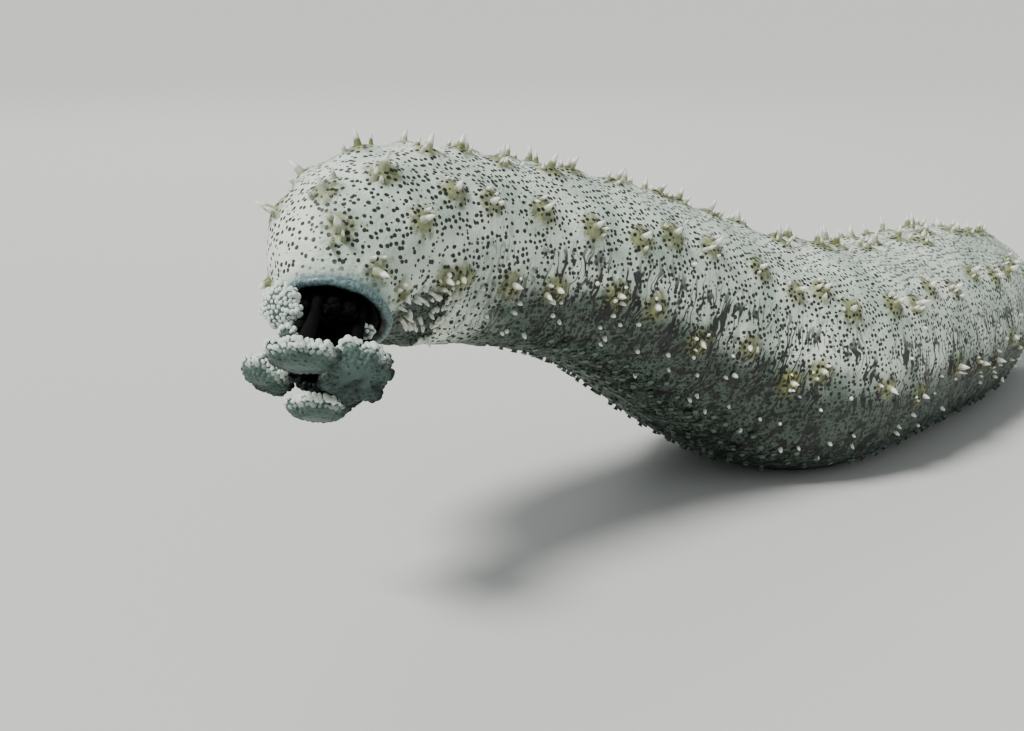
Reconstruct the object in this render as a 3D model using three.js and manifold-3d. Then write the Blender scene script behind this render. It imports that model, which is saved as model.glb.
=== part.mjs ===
// A life-size black-spotted sea cucumber that rears its front third off the floor to feed.
// Millimetres, +Z up. The origin is on the flat sole, under the middle of the part that lies down.
// The body runs along +X from the mouth to the tail end; the animal lies on its belly.
import * as THREE from "three";
import { mergeVertices } from "three/addons/utils/BufferGeometryUtils.js";
import Module from "manifold-3d";

const wasm = await Module();
wasm.setup();

// Driving dimensions of the body. Each station holds the axis point x, y, z, then the half width,
// the height of the back above the axis and the depth of the belly below it.
const BODY_STATIONS = [
  [-234, 13.5, 84.5, 14, 14, 14],
  [-225, 20.6, 94, 23.8, 23.5, 24.5],
  [-208, 30.2, 99, 29.4, 28.5, 31],
  [-179, 29, 92.5, 29.5, 29.5, 28],
  [-148, 23.5, 83.5, 31, 31.5, 25.5],
  [-118.5, 19.5, 73.5, 33, 34.5, 28.5],
  [-87.5, 16.5, 59, 37.5, 37.5, 35.5],
  [-55, 12, 43, 45, 41.5, 42],
  [-34, 2.5, 37, 48, 42, 43],
  [0, 0, 36, 44, 38, 38],
  [38.5, 2, 35, 41, 37.5, 37.5],
  [81.5, 6, 33.5, 40, 38.5, 38.5],
  [130, 14.5, 29.5, 30, 31, 31],
];
const TAIL_CAP_LENGTH = 22;
const BELLY_SQUARENESS = 2.5;
const PART_GAP = 0.3;
const BODY_GAP = 0.7;
const BODY_SIDES = 28;

// The lengths that the body is divided into, from the mouth back, as shares of the whole.
const BODY_PARTS = [
  { name: "head", end: 0.17, rings: 9 },
  { name: "neck", end: 0.29, rings: 5 },
  { name: "forebody_front", end: 0.41, rings: 5 },
  { name: "forebody_rear", end: 0.53, rings: 5 },
  { name: "midbody_front", end: 0.65, rings: 5 },
  { name: "midbody_rear", end: 0.77, rings: 5 },
  { name: "hindbody", end: 0.89, rings: 5 },
  { name: "tail_end", end: 1, rings: 6 },
];

// Papillae stand in rows along the back and flanks. An angle is measured round the body from the
// middle of the back, and each row is on both sides.
const PAPILLA_ROWS = [
  { angle: 13, spacing: 15, height: 6.4, first: 14 },
  { angle: 54, spacing: 17, height: 5.8, first: 12 },
  { angle: 97, spacing: 20, height: 5, first: 9 },
];
const PAPILLA_RADIUS = 2.3;
const PAPILLA_TIP_RADIUS = 0.3;
const PAPILLA_ROOT = 2.2;
const PAPILLA_SIDES = 5;
const PAPILLA_TAIL_MARGIN = 10;

// Tube feet stand in rows along the sole behind the neck, where the body is clear of the floor.
const FOOT_ROWS = [138, 159, 180];
const FOOT_START = 92;
const FOOT_SPACING = 12;
const FOOT_HEIGHT = 1.6;
const FOOT_RADIUS = 1.1;
const FOOT_SIDES = 5;
const FOOT_CLEARANCE = 7;

// The mouth: a lip round a black floor, from which the tentacles rise.
const LIP_INNER = 12;
const LIP_OUTER = 14.6;
const LIP_HEIGHT = 3.4;
const LIP_FLARE = 1.6;
const MOUTH_FLOOR_RADIUS = 11.4;
const MOUTH_FLOOR_THICKNESS = 1.5;

// Tentacles: a black stalk that ends in a shallow shield with a lobed, beaded margin. Azimuth is
// measured round the mouth from the back's side, out and reach place the shield's middle off the
// mouth's axis and along it, and lean tips the shield off that axis towards the azimuth of toward.
// The roots stand in two rings; a tentacle that is drawn in stands straight on its own root.
const DRAWN_IN = { reach: 7.5, shield: 1.8, lean: 5 };
const OUTER_TENTACLES = [
  DRAWN_IN,
  { azimuth: -116, out: 14, reach: 17, shield: 5.6, lean: 44, toward: -116 },
  DRAWN_IN,
  { azimuth: -65.3, out: 11.7, reach: 25.6, shield: 8.6, lean: 30, toward: -25 },
  DRAWN_IN,
  DRAWN_IN,
  { azimuth: -0.8, out: 17.3, reach: 30.5, shield: 8.8, lean: 18, toward: 180 },
  { azimuth: 14.5, out: 19.3, reach: 22.4, shield: 2.1, lean: 45, toward: 20 },
  { azimuth: 37, out: 17.8, reach: 10, shield: 5.6, lean: 50, toward: 28 },
  { azimuth: 96, out: 16.3, reach: 22.5, shield: 6.8, lean: 20, toward: 90 },
  DRAWN_IN,
  { azimuth: 150, out: 14.5, reach: 14.5, shield: 5.9, lean: 72, toward: 150 },
  DRAWN_IN,
  { azimuth: -163, out: 15.8, reach: 18.2, shield: 5.6, lean: 72, toward: -163 },
];
const INNER_TENTACLES = [
  { azimuth: 167.2, out: 8.3, reach: 28.9, shield: 8, lean: 20, toward: 180 },
  DRAWN_IN,
  DRAWN_IN,
  DRAWN_IN,
  DRAWN_IN,
];
const OUTER_RING = { out: 9.4, start: -143.6 };
const INNER_RING = { out: 4.9, start: -153 };
const STALK_RADIUS = 1.6;
const TENTACLE_SIDES = 14;
const SHIELD_LOBES = 7;
const LOBE_DEPTH = 0.09;
const SHIELD_DEPTH = 0.4;
const SHIELD_THICKNESS = 1.7;

const SKIN_COLOUR = "#d9dcc8";
const SOLE_SKIN_COLOUR = "#b9b99f";
const LIP_COLOUR = "#6f8a94";
const MOUTH_COLOUR = "#0c0b0d";
const TENTACLE_COLOUR = "#aeb7ae";

// Curves and solids

const radians = THREE.MathUtils.degToRad;
const clamp = THREE.MathUtils.clamp;

// A seeded random draw from 0 to 1 for whole numbers a and b.
function draw(a, b) {
  const v = Math.sin(a * 127.1 + b * 311.7 + 74.7) * 43758.5453;
  return v - Math.floor(v);
}

// A uniform cubic B-spline through rows of numbers; it starts and ends on the first and last row.
function spline(rows, t) {
  const last = rows.length - 1;
  const i = Math.min(Math.floor(t), last - 1);
  const u = t - i;
  const row = (k) => {
    if (k < 0) return rows[0].map((v, j) => 2 * v - rows[1][j]);
    if (k > last) return rows[last].map((v, j) => 2 * v - rows[last - 1][j]);
    return rows[k];
  };
  const weights = [
    (1 - u) ** 3,
    3 * u ** 3 - 6 * u ** 2 + 4,
    -3 * u ** 3 + 3 * u ** 2 + 3 * u + 1,
    u ** 3,
  ];
  const four = [-1, 0, 1, 2].map((k) => row(i + k));
  return rows[0].map((_, j) => four.reduce((sum, r, k) => sum + (weights[k] * r[j]) / 6, 0));
}

// The body's axis as closely spaced samples, with the distance from the mouth, the direction
// towards the tail, the way to the back and the way to the side, and the three radii.
function sampleAxis() {
  const steps = 40;
  const count = (BODY_STATIONS.length - 1) * steps;
  const samples = [];
  for (let i = 0; i <= count; i++) {
    const [x, y, z, width, back, belly] = spline(BODY_STATIONS, i / steps);
    samples.push({ point: new THREE.Vector3(x, y, z), width, back, belly });
  }
  samples.forEach((s, i) => {
    const before = samples[Math.max(i - 1, 0)].point;
    const after = samples[Math.min(i + 1, count)].point;
    s.along = after.clone().sub(before).normalize();
    s.distance = i ? samples[i - 1].distance + s.point.distanceTo(samples[i - 1].point) : 0;
  });
  const up = new THREE.Vector3(0, 0, 1);
  for (let i = count; i >= 0; i--) {
    const s = samples[i];
    up.addScaledVector(s.along, -up.dot(s.along)).normalize();
    s.up = up.clone();
    s.side = s.up.clone().cross(s.along);
  }
  return samples;
}

const AXIS = sampleAxis();
const AXIS_LENGTH = AXIS[AXIS.length - 1].distance;
const BODY_LENGTH = AXIS_LENGTH + TAIL_CAP_LENGTH;

// The body's cross-section at a distance from the mouth; past the axis it rounds off as the tail.
function section(distance) {
  if (distance >= AXIS_LENGTH) {
    const end = AXIS[AXIS.length - 1];
    const over = Math.min(distance - AXIS_LENGTH, TAIL_CAP_LENGTH);
    const shrink = Math.sqrt(Math.max(1 - (over / TAIL_CAP_LENGTH) ** 2, 0));
    return {
      ...end,
      point: end.point.clone().addScaledVector(end.along, over),
      width: end.width * shrink,
      back: end.back * shrink,
      belly: end.belly * shrink,
    };
  }
  const i = clamp(AXIS.findIndex((s) => s.distance > distance) - 1, 0, AXIS.length - 2);
  const [a, b] = [AXIS[i], AXIS[i + 1]];
  const u = (distance - a.distance) / (b.distance - a.distance);
  const mix = (key) => a[key] + (b[key] - a[key]) * u;
  const turn = (key) => a[key].clone().lerp(b[key], u);
  return {
    point: turn("point"),
    along: turn("along").normalize(),
    up: turn("up").normalize(),
    side: turn("side").normalize(),
    width: mix("width"),
    back: mix("back"),
    belly: mix("belly"),
  };
}

// A point of the skin: angle 0 is the back and 180 the sole. The belly is squarer than the back,
// and lies flat where it meets the floor.
function skinPoint(distance, angle) {
  const s = section(distance);
  const c = Math.cos(radians(angle));
  const w = Math.sin(radians(angle));
  const power = c < 0 ? BELLY_SQUARENESS : 2;
  const size = (Math.abs(c) ** power + Math.abs(w) ** power) ** (-1 / power);
  const height = (c < 0 ? s.belly : s.back) * c * size;
  const p = s.point
    .clone()
    .addScaledVector(s.up, height)
    .addScaledVector(s.side, s.width * w * size);
  p.z = Math.max(p.z, 0);
  return p;
}

// The outward direction of the skin.
function skinNormal(distance, angle) {
  const step = 0.5;
  const back = skinPoint(Math.max(distance - step, 0), angle);
  const forth = skinPoint(distance + step, angle);
  const left = skinPoint(distance, angle - step);
  const right = skinPoint(distance, angle + step);
  return forth.sub(back).cross(right.sub(left)).normalize();
}

// A closed geometry from rings of points, each ring with the same count, closed by flat or pointed
// ends. Rings run so that the faces point outwards.
function loft(rings, sharpStart, sharpEnd) {
  const sides = rings[0].length;
  const positions = [];
  const index = [];
  rings.forEach((ring) => ring.forEach((p) => positions.push(p.x, p.y, p.z)));
  for (let r = 0; r + 1 < rings.length; r++) {
    for (let k = 0; k < sides; k++) {
      const a = r * sides + k;
      const b = r * sides + ((k + 1) % sides);
      index.push(a, a + sides, b, b, a + sides, b + sides);
    }
  }
  const closeWith = (ringIndex, tip, flip) => {
    const centre = tip ?? middle(rings[ringIndex]);
    const c = positions.length / 3;
    positions.push(centre.x, centre.y, centre.z);
    for (let k = 0; k < sides; k++) {
      const a = ringIndex * sides + k;
      const b = ringIndex * sides + ((k + 1) % sides);
      index.push(...(flip ? [c, b, a] : [c, a, b]));
    }
  };
  closeWith(0, sharpStart, false);
  closeWith(rings.length - 1, sharpEnd, true);
  const g = new THREE.BufferGeometry();
  g.setAttribute("position", new THREE.Float32BufferAttribute(positions, 3));
  g.setIndex(index);
  return g;
}

function middle(points) {
  return points
    .reduce((sum, p) => sum.add(p), new THREE.Vector3())
    .divideScalar(points.length);
}

function toSolid(geometry) {
  const bare = geometry.clone();
  bare.deleteAttribute("normal");
  bare.deleteAttribute("uv");
  const merged = mergeVertices(bare, 1e-4);
  return new wasm.Manifold(
    new wasm.Mesh({
      numProp: 3,
      vertProperties: new Float32Array(merged.attributes.position.array),
      triVerts: new Uint32Array(merged.index.array),
    }),
  );
}

function toGeometry(solid) {
  const mesh = solid.getMesh();
  const g = new THREE.BufferGeometry();
  g.setAttribute("position", new THREE.Float32BufferAttribute(mesh.vertProperties, 3));
  g.setIndex(new THREE.BufferAttribute(mesh.triVerts, 1));
  g.computeVertexNormals();
  return g;
}

// Joins pieces to a base and keeps the largest closed body of the result.
function join(base, pieces) {
  const whole = pieces.reduce((sum, piece) => sum.add(toSolid(piece)), toSolid(base));
  const bodies = whole.decompose();
  return bodies.reduce((best, body) => (body.volume() > best.volume() ? body : best));
}

function named(name, geometry, colour, roughness) {
  const material = new THREE.MeshStandardMaterial({ color: colour, roughness, metalness: 0 });
  const mesh = new THREE.Mesh(geometry, material);
  mesh.name = name;
  return mesh;
}

// Body lengths with their papillae and tube feet

function bodyLength(from, to, ringCount) {
  const rings = [];
  const closedTail = to >= BODY_LENGTH;
  for (let i = 0; i < ringCount; i++) {
    const share = i / (closedTail ? ringCount : ringCount - 1);
    const eased = closedTail ? Math.sin((share * Math.PI) / 2) : share;
    const distance = from + (to - from) * eased;
    const ring = [];
    for (let k = 0; k < BODY_SIDES; k++) ring.push(skinPoint(distance, (k * 360) / BODY_SIDES));
    rings.push(ring);
  }
  return loft(rings, null, closedTail ? skinPoint(BODY_LENGTH, 0) : null);
}

// A cone or knob with its root sunk into the skin, leaning by tilt towards the tail.
function outgrowth(distance, angle, profile, sides, lean) {
  const root = skinPoint(distance, angle);
  const out = skinNormal(distance, angle).addScaledVector(section(distance).along, lean).normalize();
  const u = new THREE.Vector3(0, 0, 1).cross(out);
  if (u.length() < 0.1) u.set(1, 0, 0).cross(out);
  u.normalize();
  const v = out.clone().cross(u);
  const ringAt = ([radius, height]) =>
    Array.from({ length: sides }, (_, k) => {
      const turn = (-k * 2 * Math.PI) / sides;
      return root
        .clone()
        .addScaledVector(out, height)
        .addScaledVector(u, radius * Math.cos(turn))
        .addScaledVector(v, radius * Math.sin(turn));
    });
  const tip = root.clone().addScaledVector(out, profile[profile.length - 1][1]);
  return loft(profile.slice(0, -1).map(ringAt), null, tip);
}

// Where the papillae stand: distance from the mouth, angle and height, varied by seeded draws.
function papillaPlaces() {
  const places = [];
  PAPILLA_ROWS.forEach((row, r) => {
    [-1, 1].forEach((hand) => {
      const seed = r * 2 + (hand > 0 ? 1 : 0);
      const count = Math.floor((BODY_LENGTH - PAPILLA_TAIL_MARGIN - row.first) / row.spacing);
      for (let i = 0; i <= count; i++) {
        places.push({
          distance: row.first + (i + 0.5 * (draw(seed, i) - 0.5) + 0.25 * hand) * row.spacing,
          angle: hand * (row.angle + 14 * (draw(seed + 20, i) - 0.5)),
          height: row.height * (0.8 + 0.4 * draw(seed + 40, i)),
          lean: 0.5 * (draw(seed + 60, i) - 0.5),
        });
      }
    });
  });
  return places;
}

function papilla({ distance, angle, height, lean }) {
  const profile = [
    [PAPILLA_RADIUS, -PAPILLA_ROOT],
    [PAPILLA_RADIUS * 0.62, height * 0.35],
    [PAPILLA_TIP_RADIUS, height],
  ];
  return outgrowth(distance, angle, profile, PAPILLA_SIDES, lean);
}

// Where the tube feet stand: only where the sole is well clear of the floor.
function footPlaces() {
  const places = [];
  FOOT_ROWS.forEach((rowAngle, r) => {
    (rowAngle === 180 ? [1] : [-1, 1]).forEach((hand) => {
      const count = Math.floor(BODY_LENGTH / FOOT_SPACING);
      for (let i = Math.ceil(FOOT_START / FOOT_SPACING); i < count; i++) {
        const distance = (i + 0.5 * (r % 2) + 0.3 * draw(r + 80, i)) * FOOT_SPACING;
        const angle = hand * (rowAngle + 8 * (draw(r + 90, i) - 0.5));
        const clear = skinPoint(distance, angle).z > FOOT_CLEARANCE;
        if (clear) places.push({ distance, angle, lean: 0 });
      }
    });
  });
  return places;
}

function tubeFoot({ distance, angle, lean }) {
  const profile = [
    [FOOT_RADIUS, -PAPILLA_ROOT],
    [FOOT_RADIUS, FOOT_HEIGHT * 0.8],
    [0, FOOT_HEIGHT],
  ];
  return outgrowth(distance, angle, profile, FOOT_SIDES, lean);
}

function bodyMeshes() {
  const papillae = papillaPlaces();
  const feet = footPlaces();
  let start = 0;
  return BODY_PARTS.map((part) => {
    const from = start * BODY_LENGTH + (start ? BODY_GAP / 2 : 0);
    const to = part.end * BODY_LENGTH - (part.end < 1 ? BODY_GAP / 2 : 0);
    start = part.end;
    const inside = (margin) => (p) => p.distance > from + margin && p.distance < to - margin;
    const grown = [
      ...papillae.filter(inside(PAPILLA_RADIUS + 0.5)).map(papilla),
      ...feet.filter(inside(FOOT_RADIUS + 0.5)).map(tubeFoot),
    ];
    const solid = join(bodyLength(from, to, part.rings), grown);
    return named(part.name, toGeometry(solid), SKIN_COLOUR, 0.6);
  });
}

// Mouth

// The mouth's own frame: forward along its axis, up to the back's side and side, as the body's.
const MOUTH = (() => {
  const s = section(0);
  const forward = s.along.clone().negate();
  return { centre: s.point, forward, up: s.up, side: s.side };
})();

function mouthPoint(azimuth, out, reach) {
  return MOUTH.centre
    .clone()
    .addScaledVector(MOUTH.forward, reach)
    .addScaledVector(MOUTH.up, out * Math.cos(radians(azimuth)))
    .addScaledVector(MOUTH.side, out * Math.sin(radians(azimuth)));
}

function mouthRing(out, reach, sides) {
  return Array.from({ length: sides }, (_, k) => mouthPoint((-k * 360) / sides, out, reach));
}

// A closed profile of [out, reach] pairs turned round the mouth's axis.
function turned(profile, sides) {
  const positions = [];
  const index = [];
  const rings = profile.map(([out, reach]) => mouthRing(out, reach, sides));
  rings.forEach((ring) => ring.forEach((p) => positions.push(p.x, p.y, p.z)));
  for (let r = 0; r < rings.length; r++) {
    const next = (r + 1) % rings.length;
    for (let k = 0; k < sides; k++) {
      const k2 = (k + 1) % sides;
      const [a, b] = [r * sides + k, r * sides + k2];
      const [c, d] = [next * sides + k, next * sides + k2];
      index.push(a, c, b, b, c, d);
    }
  }
  const g = new THREE.BufferGeometry();
  g.setAttribute("position", new THREE.Float32BufferAttribute(positions, 3));
  g.setIndex(index);
  return g;
}

function mouthLip() {
  const profile = [
    [LIP_INNER, PART_GAP],
    [LIP_OUTER - 0.8, PART_GAP],
    [LIP_OUTER, LIP_HEIGHT * 0.3],
    [LIP_OUTER + LIP_FLARE * 0.6, LIP_HEIGHT * 0.75],
    [LIP_OUTER + LIP_FLARE * 0.5, LIP_HEIGHT],
    [LIP_INNER + LIP_FLARE, LIP_HEIGHT],
    [LIP_INNER + LIP_FLARE * 0.3, LIP_HEIGHT * 0.5],
  ];
  return named("mouth_lip", turned(profile, 28), LIP_COLOUR, 0.5);
}

function mouthFloor() {
  const sides = 28;
  const rings = [
    mouthRing(MOUTH_FLOOR_RADIUS, PART_GAP, sides),
    mouthRing(MOUTH_FLOOR_RADIUS, PART_GAP + MOUTH_FLOOR_THICKNESS, sides),
  ];
  return named("mouth_floor", loft(rings, null, null), MOUTH_COLOUR, 0.45);
}

// Tentacles

// One tentacle as a single closed surface: root, stalk, the shield's inner side, its lobed margin
// and its outer side.
function tentacle(shape, rootAzimuth, rootOut) {
  const floor = PART_GAP * 2 + MOUTH_FLOOR_THICKNESS;
  const root = mouthPoint(rootAzimuth, rootOut, floor);
  const centre = mouthPoint(shape.azimuth, shape.out, shape.reach);
  const away = mouthPoint(shape.toward, 1, 0).sub(MOUTH.centre);
  const face = MOUTH.forward
    .clone()
    .multiplyScalar(Math.cos(radians(shape.lean)))
    .addScaledVector(away, Math.sin(radians(shape.lean)));
  const span = root.distanceTo(centre);
  const stalk = new THREE.CubicBezierCurve3(
    root,
    root.clone().addScaledVector(MOUTH.forward, span * 0.45),
    centre.clone().addScaledVector(face, -span * 0.3 - 1),
    centre.clone().addScaledVector(face, -1),
  );
  const size = shape.shield;
  const depth = size * SHIELD_DEPTH;
  const wall = Math.min(SHIELD_THICKNESS, size * 0.4);
  const neck = Math.min(STALK_RADIUS * 1.4, size * 0.55);
  const stalkRings = [0, 0.3, 0.6, 0.88].map((t, i) => ({
    middle: stalk.getPoint(t),
    along: stalk.getTangent(t),
    radius: [STALK_RADIUS, STALK_RADIUS, (STALK_RADIUS + neck) / 2, neck][i],
    lobes: 0,
  }));
  const shieldRing = (radius, height, lobes) => ({
    middle: centre.clone().addScaledVector(face, height),
    along: face,
    radius,
    lobes,
  });
  const shieldRings = [
    shieldRing(size * 0.62, -depth * 0.45 - wall * 0.5, 0.3),
    shieldRing(size * 0.93, -depth - wall * 0.1, 1),
    shieldRing(size, -depth + wall * 0.45, 1),
    shieldRing(size * 0.82, -depth * 0.35 + wall * 0.6, 0.4),
    shieldRing(size * 0.4, wall * 0.75, 0),
  ];
  const up = MOUTH.up.clone();
  const rings = [...stalkRings, ...shieldRings].map((r) => {
    up.addScaledVector(r.along, -up.dot(r.along)).normalize();
    const side = up.clone().cross(r.along);
    return Array.from({ length: TENTACLE_SIDES }, (_, k) => {
      const turn = (k * 2 * Math.PI) / TENTACLE_SIDES;
      const radius = r.radius * (1 + r.lobes * LOBE_DEPTH * Math.cos(SHIELD_LOBES * turn));
      return r.middle
        .clone()
        .addScaledVector(up, radius * Math.cos(turn))
        .addScaledVector(side, radius * Math.sin(turn));
    });
  });
  return loft(rings, null, centre.clone().addScaledVector(face, wall));
}

function tentacleMeshes() {
  const meshes = [];
  const place = (shapes, ring) => {
    shapes.forEach((shape, i) => {
      const rootAzimuth = ring.start + (i * 360) / shapes.length;
      const straight = { azimuth: rootAzimuth, out: ring.out + 0.4, toward: rootAzimuth };
      const number = String(meshes.length + 1).padStart(2, "0");
      const geometry = tentacle({ ...straight, ...shape }, rootAzimuth, ring.out);
      meshes.push(named(`tentacle_${number}`, geometry, TENTACLE_COLOUR, 0.55));
    });
  };
  place(OUTER_TENTACLES, OUTER_RING);
  place(INNER_TENTACLES, INNER_RING);
  return meshes;
}

// The whole animal

const seaCucumber = new THREE.Group();
seaCucumber.add(...bodyMeshes(), mouthLip(), mouthFloor(), ...tentacleMeshes());

export default seaCucumber;
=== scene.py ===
"""A black-spotted sea cucumber, rearing its front third off the floor to feed, in Blender.

The body is one skin swept along a bent axis, with warts and wrinkles raised out of it. Papillae
and tube feet stand on it, and lobed tentacles rise from a black mouth inside a smooth lip.
Lengths in the body's functions are millimetres, in the frame of the solids, and every mesh is
written in metres.
"""

import math

import bpy
import numpy as np
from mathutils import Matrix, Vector, noise


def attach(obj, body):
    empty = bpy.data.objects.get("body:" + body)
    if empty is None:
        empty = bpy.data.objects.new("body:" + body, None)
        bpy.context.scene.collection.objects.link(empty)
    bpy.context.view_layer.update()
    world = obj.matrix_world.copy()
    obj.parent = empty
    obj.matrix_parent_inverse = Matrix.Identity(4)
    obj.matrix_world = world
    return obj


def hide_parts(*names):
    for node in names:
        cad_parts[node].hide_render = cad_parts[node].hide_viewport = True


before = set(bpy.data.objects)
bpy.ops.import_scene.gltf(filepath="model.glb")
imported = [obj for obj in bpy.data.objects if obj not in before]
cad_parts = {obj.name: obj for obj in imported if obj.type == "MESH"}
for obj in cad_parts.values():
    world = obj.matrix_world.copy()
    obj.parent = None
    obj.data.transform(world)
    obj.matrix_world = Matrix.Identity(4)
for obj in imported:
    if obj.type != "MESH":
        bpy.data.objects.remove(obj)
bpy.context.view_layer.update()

bl_info = {
    "name": "Black-spotted sea cucumber",
    "version": (1, 0, 0),
    "blender": (4, 5, 0),
    "location": "View3D > Sidebar > Sea Cucumber",
    "description": "Builds the skin, papillae, tube feet, mouth and tentacles of a sea cucumber",
    "category": "Add Mesh",
}

MM = 0.001

# Each station holds the axis point x, y, z, then the half width, the height of the back above
# the axis and the depth of the belly below it, from the mouth to the tail.
BODY_STATIONS = (
    (-234, 13.5, 84.5, 14, 14, 14),
    (-225, 20.6, 94, 23.8, 23.5, 24.5),
    (-208, 30.2, 99, 29.4, 28.5, 31),
    (-179, 29, 92.5, 29.5, 29.5, 28),
    (-148, 23.5, 83.5, 31, 31.5, 25.5),
    (-118.5, 19.5, 73.5, 33, 34.5, 28.5),
    (-87.5, 16.5, 59, 37.5, 37.5, 35.5),
    (-55, 12, 43, 45, 41.5, 42),
    (-34, 2.5, 37, 48, 42, 43),
    (0, 0, 36, 44, 38, 38),
    (38.5, 2, 35, 41, 37.5, 37.5),
    (81.5, 6, 33.5, 40, 38.5, 38.5),
    (130, 14.5, 29.5, 30, 31, 31),
)
TAIL_CAP_LENGTH = 22.0
BELLY_SQUARENESS = 2.5

# Papillae rows: angle from the back, spacing, height and distance of the first from the mouth.
PAPILLA_ROWS = ((13, 15, 6.4, 14), (54, 17, 5.8, 12), (97, 20, 5.0, 9))
PAPILLA_TAIL_MARGIN = 10.0

BODY_NODES = (
    "head",
    "neck",
    "forebody_front",
    "forebody_rear",
    "midbody_front",
    "midbody_rear",
    "hindbody",
    "tail_end",
)

# Tentacle shapes, in the order of their roots round the mouth, with None for one drawn in:
# azimuth from the back's side, out off the mouth's axis, reach along it, the shield's radius,
# its lean and where to.
OUTER_TENTACLES = (
    None,
    (-116, 14, 17, 5.6, 44, -116),
    None,
    (-65.3, 11.7, 25.6, 8.6, 30, -25),
    None,
    None,
    (-0.8, 17.3, 30.5, 8.8, 18, 180),
    (14.5, 19.3, 22.4, 2.1, 45, 20),
    (37, 17.8, 10, 5.6, 50, 28),
    (96, 16.3, 22.5, 6.8, 20, 90),
    None,
    (150, 14.5, 14.5, 5.9, 72, 150),
    None,
    (-163, 15.8, 18.2, 5.6, 72, -163),
)
INNER_TENTACLES = ((167.2, 8.3, 28.9, 8, 20, 180), None, None, None, None)

# Rings of roots: distance off the mouth's axis and azimuth of the first root. Drawn-in tentacles
# stand a little further out than their roots, with this reach, shield and lean.
OUTER_RING = (9.4, -143.6)
INNER_RING = (4.9, -153.0)
DRAWN_OUT = 0.4
DRAWN_IN = (7.5, 1.8, 5)

# Stalks and shields: the lobes' and the shield's depth are shares of the shield's radius.
STALK_RADIUS = 1.6
SHIELD_LOBES = 7
LOBE_DEPTH = 0.09
SHIELD_DEPTH = 0.4
SHIELD_THICKNESS = 1.7

# Tentacles that are pale all over, and those in the shade, whose beads are dark. The other
# drawn-in ones are black all over.
PALE_TENTACLES = (3, 8, 9)
SHADED_TENTACLES = (12, 14)

# Samples of the axis between two stations, and of a length that is shared out evenly.
AXIS_STEPS = 40
PATH_STEPS = 900

# Unevenness of the papillae's rows: shares of their spacing and height, and degrees.
ROW_JITTER = 0.5
ROW_STAGGER = 0.25
ROW_WANDER = 14
LEAST_HEIGHT = 0.8
HEIGHT_SPREAD = 0.4
LEAN_SPREAD = 0.5

# Rings of the small shapes: width and height, as shares of the shape's own.
PAPILLA_RINGS = ((1.55, -0.16), (1.0, 0.05), (0.76, 0.25), (0.6, 0.5), (0.38, 0.75), (0.05, 1.0))
SMALL_RINGS = ((1.2, -0.3), (1.0, 0.1), (0.85, 0.55), (0.45, 0.9), (0.05, 1.0))
SMALL_LEVELS = (0.1, 0.35, 0.8, 1.0, 1.0)
FOOT_RINGS = ((1.3, -0.2), (0.8, 0.1), (0.7, 0.72), (1.0, 0.86), (0.85, 1.0), (0.3, 0.93))

# Tube feet: how far behind the mouth they begin, the middle and the width of their bands in
# degrees, and how high over the floor the skin has to be for them and for small papillae.
FEET_START = 92.0
FOOT_BANDS = (138, 159, 180, -159, -138)
FOOT_BAND_WIDTH = 8
FOOT_CLEARANCE = 3.6
SMALL_CLEARANCE = 8

# Where bands of the skin begin and how wide their edges are: the head's in millimetres from
# the mouth, the others from 0 on the back to 1 on the sole.
HEAD_EDGE = (35, 50)
BELLY_EDGE = (0.35, 0.32)
CORNER_EDGE = (0.5, 0.16)
FLANK_EDGE = (0.34, 0.26)
LINES_EDGE = (0.24, 0.16)
FOLDS_EDGE = (0.5, 0.2)

# The dark patch beside the mouth's corner: its middle and its half length.
CORNER_MIDDLE = 18
CORNER_REACH = 24

# Lengths over which the relief fades out: over the floor, behind the mouth, before the tail's
# end, and that of the mounds alone behind the mouth.
FLOOR_FADE = 14
MOUTH_FADE = 4
TAIL_FADE = 8
WART_FADE = 16

# Furrows and the folds across them: how much noise opens one, how sharp and how deep it is.
FURROW_WIDTH = 0.16
FURROW_SHARPNESS = 1.5
FOLD_WIDTH = 0.13
FOLD_DEPTH = 0.8

# Height of the soft swells, how fast noise changes round the body, and the rows of faces that
# close the skin inside the lip.
SWELL_HEIGHT = 0.45
SKIN_NOISE = 4.2
MOUTH_ROWS = 6

# Half width of a small shape on the unwrap.
UNWRAP_PATCH = 0.0015

# Cells to a metre of the dots and speckles, how freely the dots are scattered and how far
# noise moves them.
DOT_CELLS = 565
SMALL_DOT_CELLS = 980
PEBBLE_CELLS = 1100
LIP_SPECK_CELLS = 1000
SHIELD_SPECK_CELLS = 560
DOT_SCATTER = 0.6
DOT_WANDER = 0.9 * MM

# The mesh of a tentacle with a shield and of one that is drawn in: faces round, rows in all
# and rows of the stalk. A shield larger than LARGE_SHIELD is made the first way.
FINE_MESH = (168, 84, 24)
PLAIN_MESH = (84, 48, 14)
LARGE_SHIELD = 4
STALK_END = 0.93

# Rows of beads on a pale shield, on another large one and on a small one.
BEAD_ROWS = (9, 6, 2)

# The shield's outline from its neck: share of its radius, of its depth and of its thickness.
SHIELD_OUTLINE = (
    (0.62, -0.45, -0.5),
    (0.93, -1, -0.1),
    (1.0, -1, 0.35),
    (0.84, -0.35, 0.6),
    (0.42, 0, 0.78),
    (0.0, 0, 1),
)

# The mouth's black floor: its height, its radius, how far its middle sinks and where its back
# lies.
MOUTH_FLOOR_TOP = 1.8
MOUTH_FLOOR_RADIUS = 12.4
MOUTH_FLOOR_SINK = 0.5
MOUTH_FLOOR_BACK = 0.3

# The lip's half width, and the slimness of the torus that it is turned from.
LIP_WIDTH = 1.75
LIP_TORUS = 0.25

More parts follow.
